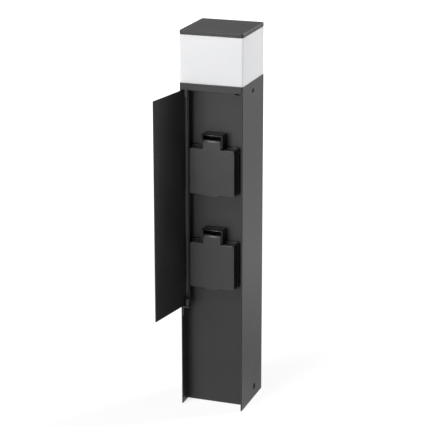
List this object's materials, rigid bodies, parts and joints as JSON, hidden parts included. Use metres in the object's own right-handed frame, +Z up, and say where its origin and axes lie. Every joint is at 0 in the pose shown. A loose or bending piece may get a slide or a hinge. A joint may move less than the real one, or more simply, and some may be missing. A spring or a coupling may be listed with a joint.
{
  "type": "garden socket post",
  "caption": "Square outdoor post with covered earthed sockets behind a hinged door, an opal lamp head and a ground bracket.",
  "frame": {"origin": "on the ground, at the middle of the square post's foot", "axes": "+Z up along the post, -Y towards the front with the sockets, +X to the viewer's right"},
  "size_m": [0.0837, 0.1358, 0.45],
  "materials": {
    "anthracite_paint": "fine textured powder coat, matt",
    "socket_plastic": "dark moulded thermoplastic, satin",
    "opal_plastic": "opal white, satin",
    "bracket_metal": "mill finish",
    "screw_steel": "stainless",
    "seal_rubber": "black, matt",
    "contact_brass": "bright",
    "carrier_plastic": "off-white moulding",
    "box_plastic": "light grey moulding",
    "shutter_plastic": "black moulding",
    "lead_sheath": "black cable sheath",
    "bush_plastic": "black bearing plastic",
    "magnet_ferrite": "dark ferrite",
    "black_steel": "black oxide",
    "board_white": "white solder mask",
    "chip_phosphor": "yellow phosphor"
  },
  "bodies": {
    "root": {"post_profile": "anthracite_paint", "lamp_base": "anthracite_paint", "top_cap": "anthracite_paint", "lower_pivot_bracket": "anthracite_paint", "diffuser": "opal_plastic", "base_bracket": "bracket_metal", "base_lock_screws": "black_steel", "head_lock_screws": "black_steel", "terminal_box_screws": "screw_steel", "tie_screws": "screw_steel", "upper_pivot_pin": "screw_steel", "lower_pivot_pin": "screw_steel", "cable_grommet": "seal_rubber", "diffuser_gasket": "seal_rubber", "cable_glands": "box_plastic", "terminal_box": "box_plastic", "terminal_box_cover": "box_plastic", "terminal_block": "carrier_plastic", "supply_lead": "lead_sheath", "link_lead": "lead_sheath", "lamp_lead": "lead_sheath", "catch_magnet": "magnet_ferrite", "led_board": "board_white", "led_chips": "chip_phosphor", "led_driver": "carrier_plastic", "lower_socket_body": "socket_plastic", "lower_flange_gasket": "seal_rubber", "lower_socket_screws": "screw_steel", "lower_hinge_pin": "black_steel", "lower_lid_spring": "screw_steel", "lower_terminal_screws": "screw_steel", "lower_earth_clip": "contact_brass", "lower_pin_contacts": "contact_brass", "lower_contact_carrier": "carrier_plastic", "upper_socket_body": "socket_plastic", "upper_flange_gasket": "seal_rubber", "upper_socket_screws": "screw_steel", "upper_hinge_pin": "black_steel", "upper_lid_spring": "screw_steel", "upper_terminal_screws": "screw_steel", "upper_earth_clip": "contact_brass", "upper_pin_contacts": "contact_brass", "upper_contact_carrier": "carrier_plastic"},
    "door": {"door_panel": "anthracite_paint", "door_bushes": "bush_plastic"},
    "upper_lid": {"upper_lid": "socket_plastic", "upper_lid_seal": "seal_rubber"},
    "lower_lid": {"lower_lid": "socket_plastic", "lower_lid_seal": "seal_rubber"},
    "upper_shutter": {"upper_shutter": "shutter_plastic"},
    "lower_shutter": {"lower_shutter": "shutter_plastic"}
  },
  "joints": [
    {"name": "door_hinge", "type": "hinge", "parent": "root", "child": "door", "pos_m": [-0.031, -0.0337, 0.2525], "axis": [0, 0, 1], "range_deg": [0, 100]},
    {"name": "upper_lid_hinge", "type": "hinge", "parent": "root", "child": "upper_lid", "pos_m": [0, -0.0326, 0.3226], "axis": [1, 0, 0], "range_deg": [-105, 0], "stiffness_Nm_per_rad": 0.03, "springref_deg": 34.38},
    {"name": "lower_lid_hinge", "type": "hinge", "parent": "root", "child": "lower_lid", "pos_m": [0, -0.0326, 0.2102], "axis": [1, 0, 0], "range_deg": [-105, 0], "stiffness_Nm_per_rad": 0.03, "springref_deg": 34.38},
    {"name": "upper_shutter_turn", "type": "hinge", "parent": "root", "child": "upper_shutter", "pos_m": [0, -0.01135, 0.2879], "axis": [0, -1, 0], "range_deg": [-40, 0], "stiffness_Nm_per_rad": 0.002, "springref_deg": 28.65},
    {"name": "lower_shutter_turn", "type": "hinge", "parent": "root", "child": "lower_shutter", "pos_m": [0, -0.01135, 0.1755], "axis": [0, -1, 0], "range_deg": [-40, 0], "stiffness_Nm_per_rad": 0.002, "springref_deg": 28.65}
  ]
}
